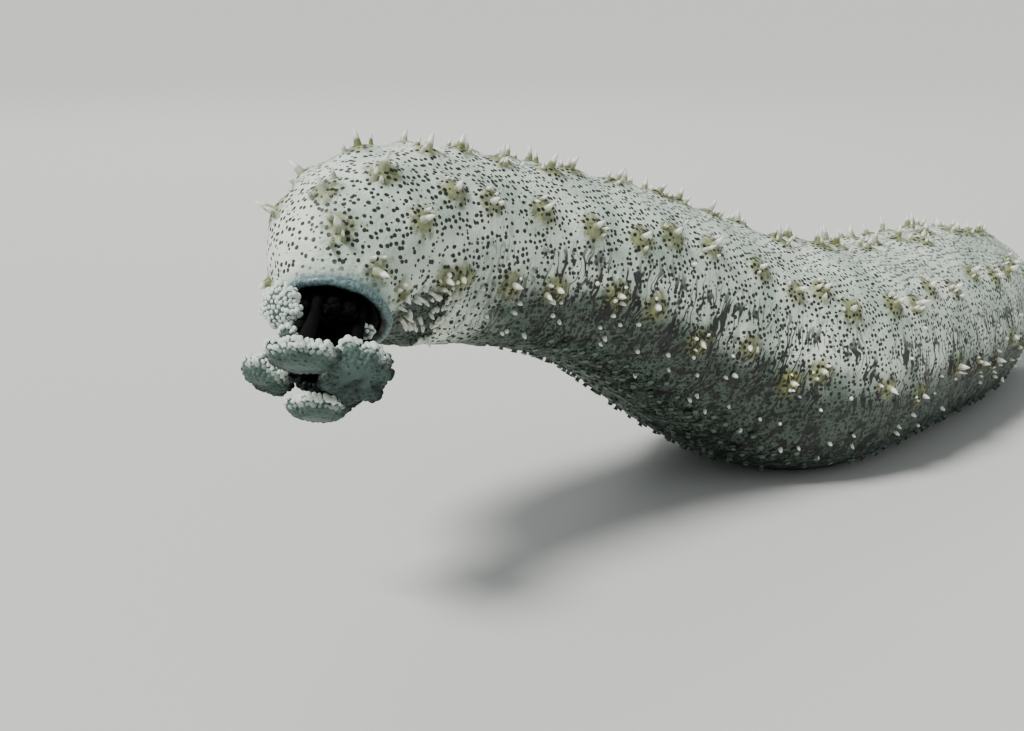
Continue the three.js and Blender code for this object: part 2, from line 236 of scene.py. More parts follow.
# Stage, in metres: the lights with their place, their angle or width, power and colour, the
# point that they shine on, and the camera.
LIGHTS = (
    ("key_light", "SUN", (-1.0, 0.25, 1.35), math.radians(18), 4.1, (1.0, 0.99, 0.96)),
    ("fill_light", "AREA", (0.5, -1.3, 0.7), 1.2, 2, (0.9, 0.97, 1.0)),
    ("rim_light", "AREA", (0.5, 1.2, 1.2), 0.8, 6, (0.95, 0.98, 1.0)),
)
LIT_POINT = (-0.1, 0.02, 0.06)
CAMERA_PLACE = (-0.4669, -0.2876, 0.16994)
CAMERA_TURN = (math.radians(75), 0, math.radians(-45))


# Body shape


def draw(a, b):
    """A seeded random draw from 0 to 1 for whole numbers a and b."""
    value = math.sin(a * 127.1 + b * 311.7 + 74.7) * 43758.5453
    return value - math.floor(value)


def spans(rows, t):
    """The rows with one more at each end, the span that each t falls in and its share of it."""
    rows = np.asarray(rows, float)
    padded = np.vstack([2 * rows[0] - rows[1], rows, 2 * rows[-1] - rows[-2]])
    i = np.minimum(np.floor(t).astype(int), len(rows) - 2)
    return padded, i, (t - i)[:, None]


def spline(rows, t):
    """A uniform cubic B-spline that starts and ends on the first and last row."""
    padded, i, u = spans(rows, t)
    weights = (
        (1 - u) ** 3,
        3 * u**3 - 6 * u**2 + 4,
        -3 * u**3 + 3 * u**2 + 3 * u + 1,
        u**3,
    )
    return sum(weight * padded[i + k] for k, weight in enumerate(weights)) / 6


def unit(vectors):
    """The vectors, each at length one."""
    return vectors / np.maximum(np.linalg.norm(vectors, axis=-1, keepdims=True), 1e-12)


def step_lengths(points):
    """The distances between neighbouring points."""
    return np.linalg.norm(np.diff(points, axis=0), axis=1)


def running_sum(steps):
    """The way gone after each step, from 0."""
    return np.concatenate([[0], np.cumsum(steps)])


def ramp(values, start, width):
    """Rises evenly from 0 at start to 1 a width further on."""
    return np.clip((values - start) / width, 0, 1)


def carry(up, directions):
    """The way up, carried along a curve without a twist."""
    ups = []
    for direction in directions:
        up = up - up.dot(direction) * direction
        up = up / np.linalg.norm(up)
        ups.append(up)
    return np.array(ups)


def sample_axis():
    """The body's axis as closely spaced samples with its directions and three radii."""
    samples = np.arange((len(BODY_STATIONS) - 1) * AXIS_STEPS + 1)
    values = spline(BODY_STATIONS, samples / AXIS_STEPS)
    points = values[:, :3]
    along = unit(np.vstack([points[1:], points[-1:]]) - np.vstack([points[:1], points[:-1]]))
    distance = running_sum(step_lengths(points))
    ups = carry(np.array([0.0, 0.0, 1.0]), along[::-1])[::-1]
    return dict(
        distance=distance,
        point=points,
        along=along,
        up=ups,
        side=np.cross(ups, along),
        radii=values[:, 3:],
    )


AXIS = sample_axis()
AXIS_LENGTH = float(AXIS["distance"][-1])
BODY_LENGTH = AXIS_LENGTH + TAIL_CAP_LENGTH


def section(distance):
    """The body's cross-sections at distances from the mouth; past the axis is the tail's cap."""
    d = np.clip(np.asarray(distance, float), 0, BODY_LENGTH)
    at = np.minimum(d, AXIS_LENGTH)

    def look(key):
        return np.stack([np.interp(at, AXIS["distance"], c) for c in AXIS[key].T], -1)

    over = np.clip(d - AXIS_LENGTH, 0, TAIL_CAP_LENGTH)
    shrink = np.sqrt(np.maximum(1 - (over / TAIL_CAP_LENGTH) ** 2, 0))
    along = unit(look("along"))
    return dict(
        point=look("point") + along * over[..., None],
        along=along,
        up=unit(look("up")),
        side=unit(look("side")),
        radii=look("radii") * shrink[..., None],
    )


def skin_points(distance, angle):
    """Points of the skin: angle 0 is the back and 180 the sole, which lies flat on the floor."""
    s = section(distance)
    c = np.cos(np.radians(angle))
    w = np.sin(np.radians(angle))
    power = np.where(c < 0, BELLY_SQUARENESS, 2.0)
    size = (np.abs(c) ** power + np.abs(w) ** power) ** (-1 / power)
    height = np.where(c < 0, s["radii"][..., 2], s["radii"][..., 1]) * c * size
    across = s["radii"][..., 0] * w * size
    p = s["point"] + s["up"] * height[..., None] + s["side"] * across[..., None]
    p[..., 2] = np.maximum(p[..., 2], 0)
    return p


def skin_normals(distance, angle):
    """Outward directions of the skin."""
    distance, angle = np.asarray(distance, float), np.asarray(angle, float)
    step = 0.5
    back = skin_points(np.maximum(distance - step, 0), angle)
    forth = skin_points(distance + step, angle)
    left = skin_points(distance, angle - step)
    right = skin_points(distance, angle + step)
    return unit(np.cross(forth - back, right - left))


def papilla_places():
    """Where the papillae of the rows stand, as distance, angle, height and lean."""
    places = []
    for r, (row_angle, spacing, height, first) in enumerate(PAPILLA_ROWS):
        count = math.floor((BODY_LENGTH - PAPILLA_TAIL_MARGIN - first) / spacing)
        for seed, hand in ((r * 2, -1), (r * 2 + 1, 1)):
            for i in range(count + 1):
                shift = i + ROW_JITTER * (draw(seed, i) - 0.5) + ROW_STAGGER * hand
                angle = hand * (row_angle + ROW_WANDER * (draw(seed + 20, i) - 0.5))
                tall = height * (LEAST_HEIGHT + HEIGHT_SPREAD * draw(seed + 40, i))
                lean = LEAN_SPREAD * (draw(seed + 60, i) - 0.5)
                places.append((first + shift * spacing, angle, tall, lean))
    return np.array(places)


# Mesh helpers


def focus(piece):
    """Selects one piece and makes it active."""
    bpy.ops.object.select_all(action="DESELECT")
    piece.select_set(True)
    bpy.context.view_layer.objects.active = piece


def named(name):
    """The object that was just added, under its own name."""
    piece = bpy.context.object
    piece.name = piece.data.name = name
    return piece


def read_points(piece):
    """The places of a piece's vertices."""
    flat = np.empty(len(piece.data.vertices) * 3)
    piece.data.vertices.foreach_get("co", flat)
    return flat.reshape(-1, 3)


def new_grid(name, around, along):
    """A flat grid of around by along faces, with each vertex's column and row."""
    bpy.ops.mesh.primitive_grid_add(x_subdivisions=around, y_subdivisions=along, size=1)
    piece = named(name)
    flat = read_points(piece)
    column = np.rint((flat[:, 0] + 0.5) * around).astype(int)
    row = np.rint((flat[:, 1] + 0.5) * along).astype(int)
    return piece, column, row


def write_points(piece, points):
    """Puts points, in millimetres, into the piece's mesh."""
    piece.data.vertices.foreach_set("co", (points * MM).ravel())
    piece.data.update()


def write_mark(piece, name, values):
    """Stores one number a vertex, for the materials to read."""
    mark = piece.data.attributes.new(name, "FLOAT", "POINT")
    mark.data.foreach_set("value", np.ascontiguousarray(values, np.float32))


def close_surface(piece, weld=True):
    """Joins a grid's seam and poles, and turns the faces outwards."""
    focus(piece)
    bpy.ops.object.mode_set(mode="EDIT")
    bpy.ops.mesh.select_all(action="SELECT")
    if weld:
        bpy.ops.mesh.remove_doubles(threshold=1e-6)
        bpy.ops.mesh.select_all(action="SELECT")
    bpy.ops.mesh.normals_make_consistent(inside=False)
    bpy.ops.object.mode_set(mode="OBJECT")
    bpy.ops.object.shade_smooth()


def finish_piece(piece, slot, material, *nodes):
    """Gives a piece its material and its body, and hides the parts of the model that it stands
    for.
    """
    piece.data.materials.clear()
    piece.data.materials.append(material)
    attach(piece, "root")
    if nodes:
        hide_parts(*nodes)


def joined_copies(name, verts, faces, origins, frames, marks, patch):
    """One mesh of many copies of a small shape, each with its own place and turn.

    verts is copies by points by 3 in each copy's own frame, frames holds the three directions
    of each copy, marks are values per copy and point, and patch is each copy's place on the
    skin's unwrap."""
    copies, points = verts.shape[:2]
    world = origins[:, None, :] + np.einsum("cpk,ckx->cpx", verts, frames)
    face_count = len(faces)
    corners = len(faces[0])
    index = (faces[None] + (np.arange(copies) * points)[:, None, None]).reshape(-1)
    mesh = bpy.data.meshes.new(name)
    mesh.vertices.add(copies * points)
    mesh.vertices.foreach_set("co", (world * MM).ravel())
    mesh.loops.add(len(index))
    mesh.loops.foreach_set("vertex_index", index.astype(np.int32))
    mesh.polygons.add(copies * face_count)
    mesh.polygons.foreach_set("loop_start", np.arange(copies * face_count) * corners)
    mesh.update(calc_edges=True)
    mesh.validate()
    piece = bpy.data.objects.new(name, mesh)
    bpy.context.collection.objects.link(piece)
    for key, values in marks.items():
        write_mark(piece, key, np.broadcast_to(values, (copies, points)).ravel())
    spread = verts[..., :2] / max(np.abs(verts[..., :2]).max(), 1e-6) * UNWRAP_PATCH
    flat = (patch[:, None, :] + spread).reshape(-1, 2)
    layer = mesh.uv_layers.new(name="OFBake")
    layer.data.foreach_set("uv", flat[index].ravel())
    focus(piece)
    bpy.ops.object.shade_smooth()
    return piece


def closed_ring_mesh(sides, rings):
    """Four-cornered faces of a stack of rings and of its two ends."""
    faces = []
    for r in range(rings - 1):
        for k in range(sides):
            a, b = r * sides + k, r * sides + (k + 1) % sides
            faces.append((a, b, b + sides, a + sides))
    last = (rings - 1) * sides
    for k in range(1, sides - 2, 2):
        faces.append((0, k + 2, k + 1, k))
        faces.append((last, last + k, last + k + 1, last + k + 2))
    return np.array(faces)


def places_on_skin(distance, angle, lean):
    """Origins and outward frames of small shapes on the skin."""
    origins = skin_points(distance, angle)
    out = unit(skin_normals(distance, angle) + section(distance)["along"] * lean[:, None])
    first = unit(np.cross(np.array([0.13, 0.31, 0.94]), out))
    second = np.cross(out, first)
    return origins, np.stack([first, second, out], 1)


def small_shapes(name, flesh, rings, sides, places, bend, radius, levels=None, **marks):
    """One piece of many small bent shapes that stand on the skin.

    rings holds each ring's width and height, places the distance, angle, lean and height of
    each shape, and levels the height that the material reads at each ring."""
    distance, angle, lean, height = places
    origins, frames = places_on_skin(distance, angle, lean)
    turn = np.arange(sides) * 2 * math.pi / sides
    shape = [
        np.stack([wide * np.cos(turn), wide * np.sin(turn), np.full(sides, high)], 1)
        for wide, high in rings
    ]
    verts = np.broadcast_to(np.concatenate(shape), (len(height), len(rings) * sides, 3)).copy()
    verts[..., :2] += bend[:, None] * np.maximum(verts[..., 2:], 0) ** 2
    verts *= np.stack([radius, radius, height], 1)[:, None, :]
    patch = np.stack([(angle / 360 + 0.5) % 1, distance / BODY_LENGTH], 1)
    levels = levels or [max(high, 0) for _, high in rings]
    marks = {"height": np.repeat(levels, sides)[None], **marks}
    faces = closed_ring_mesh(sides, len(rings))
    piece = joined_copies(name, verts, faces, origins, frames, marks, patch)
    finish_piece(piece, "skin", flesh)


def ring_noise(turns, scale, height):
    """Noise along a ring that closes on itself."""
    places = [(math.cos(a) * scale, math.sin(a) * scale, height) for a in turns]
    return np.array([noise.noise(Vector(place)) for place in places])


# Materials


class Value:
    """A number at a node's socket, with the arithmetic of numbers."""

    def __init__(self, finish, socket):
        self.finish = finish
        self.socket = socket

    def math(self, operation, *others):
        """The result of an operation on this number and others."""
        inputs = dict(enumerate((self, *others)))
        return self.finish.add("ShaderNodeMath", {"operation": operation}, inputs)

    def __add__(self, other):
        return self.math("ADD", other)

    __radd__ = __add__

    def __mul__(self, other):
        return self.math("MULTIPLY", other)

    def __sub__(self, other):
        return self.math("SUBTRACT", other)

    def __rsub__(self, other):
        settings = {"operation": "SUBTRACT"}
        return self.finish.add("ShaderNodeMath", settings, {0: other, 1: self})

    def step(self, low, high):
        """Rises smoothly from 0 at low to 1 at high."""
        settings = {"interpolation_type": "SMOOTHSTEP"}
        return self.finish.add("ShaderNodeMapRange", settings, {0: self, 1: low, 2: high})

    def larger(self, other):
        """The larger of two numbers."""
        return self.math("MAXIMUM", other)


class Finish:
    """A material and the nodes that feed its surface."""

    def __init__(self, name, roughness=0.5, soft=0.0, gloss=0.5):
        self.material = bpy.data.materials.new(name)
        self.material.use_nodes = True
        self.tree = self.material.node_tree
        self.surface = self.tree.nodes["Principled BSDF"]
        self.surface.inputs["Roughness"].default_value = roughness
        self.surface.inputs["Specular IOR Level"].default_value = gloss
        self.surface.inputs["Subsurface Weight"].default_value = soft
        self.surface.inputs["Subsurface Radius"].default_value = (1.0, 0.6, 0.4)
        self.surface.inputs["Subsurface Scale"].default_value = 1.5 * MM
        self.place = self.add("ShaderNodeTexCoord", output="Object")

    def add(self, kind, settings=None, inputs=None, output=0):
        """Adds a node, sets it, fills its sockets and returns one of its outputs."""
        node = self.tree.nodes.new(kind)
        for key, value in (settings or {}).items():
            setattr(node, key, value)
        for key, value in (inputs or {}).items():
            if isinstance(value, Value):
                self.tree.links.new(value.socket, node.inputs[key])
            else:
                node.inputs[key].default_value = value
        return Value(self, node.outputs[output])

    def mark(self, name):
        """A number stored on the mesh."""
        return self.add("ShaderNodeAttribute", {"attribute_name": name}, output="Fac")

    def noise(self, scale, detail=3.0, rough=0.55, place=None):
        """Soft noise from 0 to 1, with scale waves to a metre."""
        inputs = {"Vector": place or self.place, "Scale": scale, "Detail": detail}
        inputs["Roughness"] = rough
        return self.add("ShaderNodeTexNoise", None, inputs, "Fac")

    def cells(self, scale, place=None, scatter=1.0):
        """The distance to the nearest of many points, evenly set where scatter is low."""
        inputs = {"Vector": place or self.place, "Scale": scale, "Randomness": scatter}
        return self.add("ShaderNodeTexVoronoi", None, inputs, "Distance")

    def spots(self, radius, edge, *cells):
        """Spots on the middles of cells: 1 inside them and 0 outside."""
        return 1 - (self.cells(*cells) - radius).step(-0.02, edge)

    def lines(self, place):
        """Thin wandering lines that run round the body, broken up along their way."""
        moved = self.noise(140, 1, 0.5, place)
        along = self.mark("along") * 400 + moved * 2.6
        round_body = self.mark("round") * 62
        across = self.add("ShaderNodeCombineXYZ", None, {0: along, 1: round_body})
        wave = self.noise(1, 1, 0.4, across)
        line = 1 - (wave - 0.5).math("ABSOLUTE").step(0.026, 0.055)
        return line * self.noise(95, 2).step(0.37, 0.5)

    def mix(self, share, first, second):
        """A colour between two colours, each a value or the name of a setting."""
        inputs = {0: share, 6: first, 7: second}
        for key in (6, 7):
            if isinstance(inputs[key], str):
                inputs[key] = chosen_colour(inputs[key])
        return self.add("ShaderNodeMix", {"data_type": "RGBA"}, inputs, 2)

    def bump(self, height, distance, strength, under=None):
        """A raised surface, on top of another one if given."""
        inputs = {"Height": height, "Distance": distance, "Strength": strength}
        if under:
            inputs["Normal"] = under
        return self.add("ShaderNodeBump", None, inputs)

    def feed(self, **sockets):
        """Links values to the surface's sockets."""
        for key, value in sockets.items():
            self.tree.links.new(value.socket, self.surface.inputs[key.replace("_", " ")])


def colour(hex_code):
    """A linear colour from a hex code."""
    parts = [int(hex_code[i : i + 2], 16) / 255 for i in (1, 3, 5)]
    return tuple(p / 12.92 if p <= 0.04045 else ((p + 0.055) / 1.055) ** 2.4 for p in parts)


def chosen_colour(name):
    """A colour of the settings, with its alpha."""
    return (*getattr(bpy.context.scene.sea_cucumber_colours, name)[:], 1)


def skin_material():
    """Pale skin with black-brown dots, ochre warts, dark furrows and a darker belly that is partly
    painted shade.
    """
    f = Finish("spotted_skin", roughness=0.5, soft=0.04)
    wart, belly = f.mark("wart"), f.mark("belly")
    groove, rim = f.mark("groove"), f.mark("rim")
    mottle = f.noise(55, 4)
    fine = f.noise(420, 3)
    coarse = {"Vector": f.place, "Scale": 300, "Detail": 1}
    wander = f.add("ShaderNodeTexNoise", None, coarse, "Color")
    shift = f.add("ShaderNodeVectorMath", {"operation": "SCALE"}, {0: wander, "Scale": DOT_WANDER})
    moved = f.add("ShaderNodeVectorMath", {"operation": "ADD"}, {0: f.place, 1: shift})
    scattered = moved, DOT_SCATTER
    dots = f.spots(0.33 + f.noise(30, 2) * 0.08, 0.035, DOT_CELLS, *scattered)
    small = f.spots(0.06 + belly * 0.3, 0.06, SMALL_DOT_CELLS, *scattered)
    pale = f.mix(mottle.step(0.35, 0.7), "pale", "tint")
    # Towards the belly the skin takes the belly colours: partly its own darker skin, partly
    # painted shade of the underside.
    under = f.mix(mottle, "belly", "belly_light")
    base = f.mix((belly + (mottle - 0.5) * 0.6).step(0.25, 0.9), pale, under)
    ochre = f.mix(fine.step(0.35, 0.65), "ochre", "ochre_dark")
    warty = (wart + (fine - 0.5) * 0.9 + (mottle - 0.5) * 0.6).step(0.14, 0.66)
    base = f.mix(warty * 0.85, base, ochre)
    base = f.mix(rim * 0.75, base, "lip_tint")
    furrow = (groove + (fine - 0.5) * 0.4 + belly * 0.1).step(0.42, 0.74)
    dark = dots.larger(small * (0.1 + belly * 0.7)) * (1 - rim * 0.8)
    dark = dark.larger(furrow * 0.85).larger(f.lines(moved) * f.mark("flank"))
    f.feed(Base_Color=f.mix(dark * 0.97, base, "dots"))
    f.feed(Roughness=0.4 + fine * 0.24)
    soft = f.bump(fine * 0.6 + f.cells(PEBBLE_CELLS) * 0.4, 0.0007, 0.6)
    f.feed(Normal=f.bump(dark, 0.0003, -0.4, soft))
    return f.material


def papilla_material():
    """Ochre at the root, white towards the sharp tip."""
    f = Finish("papilla_flesh", roughness=0.42, soft=0.2)
    height, shade = f.mark("height"), f.mark("shade")
    fine = f.noise(700, 2)
    root = f.mix(fine, "ochre", "ochre_dark")
    skin = f.mix(shade, root, "pale")
    tip = (height + (fine - 0.5) * 0.3).step(0.45, 0.68)
    f.feed(Base_Color=f.mix(tip, skin, "tip"))
    f.feed(Normal=f.bump(fine, 0.0003, 0.4))
    return f.material


def foot_material():
    """Grey tube feet with a paler sucker."""
    f = Finish("tube_foot_flesh", roughness=0.4, soft=0.15)
    height = f.mark("height")
    fine = f.noise(600, 2)
    # The feet take the belly colours, so they carry the same painted shade of the underside.
    stem = f.mix(fine, "belly", "belly_light")
    f.feed(Base_Color=f.mix(height.step(0.7, 0.9), stem, "belly_light"))
    f.feed(Normal=f.bump(fine, 0.0003, 0.4))
    return f.material


def lip_material():
    """Smooth blue-grey flesh, finely speckled and creased across, black inside."""
    f = Finish("lip_flesh", roughness=0.42, soft=0.04)
    fine, broad = f.noise(1100, 3), f.noise(150, 2)
    inward = f.mark("inward")
    flesh = f.mix(fine.step(0.42, 0.62), "lip", "lip_light")
    flesh = f.mix(f.spots(0.22, 0.06, LIP_SPECK_CELLS) * 0.55, flesh, "dots")
    flesh = f.mix((inward + (broad - 0.5) * 0.3).step(0.3, 0.6), flesh, "mouth")
    f.feed(Base_Color=flesh)
    f.feed(Normal=f.bump(fine * 0.5 + broad, 0.0005, 0.4))
    return f.material


def mouth_material():
    """Black, wet, finely wrinkled flesh."""
    f = Finish("mouth_flesh", roughness=0.6, gloss=0.1)
    fine = f.noise(260, 4)
    f.feed(Base_Color=f.mix(fine, "mouth", "mouth_light"))
    f.feed(Normal=f.bump(fine, 0.0008, 0.6))
    return f.material


def tentacle_material():
    """Black stalk and inner side, grey speckled outer side, pale beads along the margin, with
    painted shade that darkens faces and beads where the pale mark is low.
    """
    f = Finish("tentacle_flesh", roughness=0.42, soft=0.03, gloss=0.12)
    outer, bead, pale = f.mark("outer"), f.mark("bead"), f.mark("pale")
    fine, broad = f.noise(800, 3), f.noise(260, 3)
    black = f.mix(fine, "mouth", "mouth_light")
    # The face is paler where the pale mark is high: painted light towards the back, on top of
    # random darker patches.
    face = f.mix((broad + pale * 0.35).step(0.3, 0.8), "shield_dark", "shield")
    face = f.mix(f.spots(0.24, 0.06, SHIELD_SPECK_CELLS) * 0.5, face, "dots")
    flesh = f.mix(outer.step(0.35, 0.6), black, face)
    # Beads take the dark shield colour where the pale mark is low: painted shade on the lower side
    # and on the shaded tentacles.
    knobs = f.mix((fine * 0.4 + (1 - pale)).step(0.2, 0.9), "bead", "shield_dark")
    flesh = f.mix((bead + (fine - 0.5) * 0.2).step(0.25, 0.75), flesh, knobs)
    f.feed(Base_Color=flesh)
    f.feed(Roughness=0.85 - outer.larger(bead) * 0.4)
    f.feed(Normal=f.bump(fine * 0.3 + broad, 0.0012, 0.6))
    return f.material


def floor_material():
    """Plain pale floor."""
    f = Finish("pale_floor", roughness=0.85)
    f.surface.inputs["Base Color"].default_value = chosen_colour("floor")
    return f.material


# Settings


def colour_setting(name, hex_code, description):
    """A colour that the panel shows."""
    return bpy.props.FloatVectorProperty(
        name=name,
        description=description,
        subtype="COLOR",
        size=3,
        min=0,
        max=1,
        default=colour(hex_code),
    )


def length_setting(name, millimetres, description):
    """A length that the panel shows."""
    return bpy.props.FloatProperty(
        name=name,
        description=description,
        subtype="DISTANCE",
        unit="LENGTH",
        default=millimetres * MM,
    )


class SeaCucumberColours(bpy.types.PropertyGroup):
    """Colours of the flesh and the floor"""

    pale: colour_setting("Skin", "#e6f0e2", "Palest skin of the back")
    tint: colour_setting("Skin tint", "#b2c6b5", "Cooler patches of the back")
    # The belly colours are partly the underside's own darker skin and partly painted shade of the
    # lower flank and underside.
    belly: colour_setting("Belly", "#2b3931", "Darker skin of the lower flank and the belly")
    belly_light: colour_setting("Belly patches", "#5f7365", "Paler patches of the belly")
    dots: colour_setting("Dots", "#0c0b08", "Black-brown dots and wrinkles")
    ochre: colour_setting("Warts", "#8d8f50", "Ochre warts below the papillae")
    ochre_dark: colour_setting("Warts, dark", "#525931", "Darker patches of the warts")
    tip: colour_setting("Papilla tips", "#f4f3ea", "White tips of the papillae")
    lip_tint: colour_setting("Round the lip", "#86a0a0", "Skin next to the lip")
    lip: colour_setting("Lip", "#4f666a", "Blue-grey lip")
    lip_light: colour_setting("Lip, speckles", "#7c9897", "Pale speckles of the lip")
    mouth: colour_setting("Mouth", "#020203", "Black mouth, stalks and inner sides")
    mouth_light: colour_setting("Mouth, folds", "#050506", "Worn folds of the black flesh")
    shield: colour_setting("Shield", "#546660", "Outer side of the tentacles")
    # Shield, dark: random darker patches, and also the painted shade of faces and beads low on a
    # tentacle and on the shaded tentacles.
    shield_dark: colour_setting("Shield, dark", "#232e2c", "Darker patches of that side")
    bead: colour_setting("Beads", "#dbe6dc", "Pale beads along the tentacles' margins")
    floor: colour_setting("Floor", "#d2d2ce", "Stage floor")


class SeaCucumberSkin(bpy.types.PropertyGroup):
    """Fineness and relief of the skin"""

    around: bpy.props.IntProperty(
        name="Faces round", description="Faces round the body", default=224, min=64, max=260
    )
    lengthwise: bpy.props.IntProperty(
        name="Faces along", description="Faces along the body", default=392, min=64, max=440
    )
    wart_height: length_setting("Wart height", 2.0, "Height of the mounds below papillae")
    wart_radius: length_setting("Wart radius", 5.0, "Half width of a mound")
    wrinkle_depth: length_setting("Wrinkle depth", 1.0, "Depth of the furrows on the flank")


class SeaCucumberPapillae(bpy.types.PropertyGroup):
    """Sizes of the papillae and tube feet"""

    radius: length_setting("Radius", 1.8, "Radius of a papilla at its root")
    beads: bpy.props.IntProperty(
        name="Small papillae", description="Small ones of the lower flank", default=170, min=0
    )
    foot_spacing: length_setting("Foot spacing", 6.4, "Distance between tube feet of one line")


class SeaCucumberMouth(bpy.types.PropertyGroup):
    """Sizes of the lip and the tentacles"""

    lip_radius: length_setting("Lip radius", 13.9, "Radius of the middle of the lip")
    lip_height: length_setting("Lip height", 2.9, "Height of the lip along the mouth's axis")
    bead_size: length_setting("Bead size", 1.5, "Width of a bead of a tentacle's margin")


# Pieces


def even_rows(count):
    """Distances from the mouth that share the skin's length evenly, back and middle alike."""
    d = np.linspace(0, BODY_LENGTH, PATH_STEPS)
    back = skin_points(d, np.zeros(PATH_STEPS))
    middle = section(d)["point"]
    path = running_sum(step_lengths(back) + 0.5 * step_lengths(middle))
    return np.interp(np.linspace(0, path[-1], count), path, d)


def skin_relief(lengths, angles):
    """Noise of the furrows, of the folds across them and of the swells, row by row."""
    fields = np.zeros((3, len(lengths), len(angles)))
    for k, degrees in enumerate(angles[:-1]):
        a = math.radians(degrees)
        x, y = math.cos(a) * SKIN_NOISE, math.sin(a) * SKIN_NOISE
        for i, d in enumerate(lengths):
            drift = noise.noise(Vector((x, y, d / 21))) * 1.2
            fields[:, i, k] = (
                abs(noise.noise(Vector((x * 0.62 + 7, y * 0.62, d / 3.4 + drift)))),
                abs(noise.noise(Vector((x * 1.5, y * 1.5 + 9, d / 2.6 - drift)))),
                noise.noise(Vector((x * 1.5, y * 1.5 + 3, d / 9))),
            )
    fields[:, :, -1] = fields[:, :, 0]
    return fields


class MESH_OT_sea_cucumber_skin(bpy.types.Operator):
    """Sweeps one skin along the body, with warts and furrows raised in it"""

    bl_idname = "mesh.sea_cucumber_skin"
    bl_label = "Skin"

    def execute(self, context):
        size = context.scene.sea_cucumber_skin
        around, along = size.around, size.lengthwise
        piece, column, row = new_grid("body_skin", around, along)
        angles = np.linspace(0, 360, around + 1) - 180.0
        lengths = even_rows(along + 1 - MOUTH_ROWS)
        distance, angle = np.meshgrid(lengths, angles, indexing="ij")
        base = skin_points(distance, angle)
        normal = skin_normals(distance, angle)
        normal[-1] = section(BODY_LENGTH)["along"]

        wart = np.zeros(base.shape[:2])
        wide = size.wart_radius / MM
        places = papilla_places()
        for centre in skin_points(places[:, 0], places[:, 1]):
            gap = np.linalg.norm(base - centre, axis=2)
            wart = np.maximum(wart, np.exp(-((gap / wide) ** 2)))

        low = (1 - np.cos(np.radians(angle))) / 2
        mouthward = np.exp(-distance / WART_FADE)
        headward = 1 - ramp(distance, *HEAD_EDGE)
        flank = ramp(low, *FLANK_EDGE)
        near_corner = np.exp(-(((distance - CORNER_MIDDLE) / CORNER_REACH) ** 4))
        corner = near_corner * ramp(low, *CORNER_EDGE)
        groove, cross, lift = skin_relief(lengths, angles)
        crease = (1 - ramp(groove, 0, FURROW_WIDTH)) ** FURROW_SHARPNESS
        fold = (1 - ramp(cross, 0, FOLD_WIDTH)) * ramp(low, *FOLDS_EDGE)
        crease = np.maximum(crease, FOLD_DEPTH * fold)
        strength = 0.1 + 0.9 * flank
        height = (
            size.wart_height / MM * wart * (1 - mouthward)
            + SWELL_HEIGHT * lift * (0.4 + flank)
            - size.wrinkle_depth / MM * crease * strength
        )
        ends = ramp(distance, 0, MOUTH_FADE) * ramp(BODY_LENGTH - distance, 0, TAIL_FADE)
        height *= ramp(base[..., 2], 0, FLOOR_FADE) * ends
        skin = base + normal * height[..., None]
        skin[..., 2] = np.maximum(skin[..., 2], 0)

        shares = np.linspace(0, 1, MOUTH_ROWS + 1)[:-1]
        centre = section(0.0)["point"]
        cap = np.stack([centre + (skin[0] - centre) * share for share in shares])
        write_points(piece, np.vstack([cap, skin])[row, column])

        # The belly mark darkens the skin towards the sole and beside the mouth's corner, and
        # thickens the small dots; towards the sole this is partly the skin's own colour and partly
        # painted shade of the underside.
        under = ramp(low, *BELLY_EDGE) * (1 - 0.8 * headward)
        marks = {
            "wart": wart * (1 - 0.5 * mouthward),
            "belly": np.maximum(under, 0.95 * corner),
            "groove": crease * strength * (1 - 0.6 * headward),
            "rim": np.clip(1.2 - distance / 2.8, 0, 1),
            "flank": ramp(low, *LINES_EDGE) * (1 - headward),
            "along": distance * MM,
            "round": np.radians(angle) * 0.036,
        }
        for name, values in marks.items():
            values = np.vstack([np.repeat(values[:1], MOUTH_ROWS, 0), values])
            write_mark(piece, name, values[row, column])
        close_surface(piece)
        finish_piece(piece, "skin", skin_material(), *BODY_NODES)
        return {"FINISHED"}


def small_papilla_places(random, count):
    """Distances, angles and tallness of the small papillae of flank, mouth's corner and back."""
    corner, scattered = count // 4, count // 5
    distance = (
        random.uniform(20, BODY_LENGTH - 12, count),
        random.uniform(3, 38, corner),
        random.uniform(4, BODY_LENGTH - 20, scattered),
    )
    angle = (
        random.choice([-1, 1], count) * random.normal(114, 13, count),
        random.normal(-122, 13, corner),
        random.uniform(-90, 90, scattered),
    )
    tall = np.ones(count), np.full(corner, 1.5), np.ones(scattered)
    return (np.concatenate(parts) for parts in (distance, angle, tall))


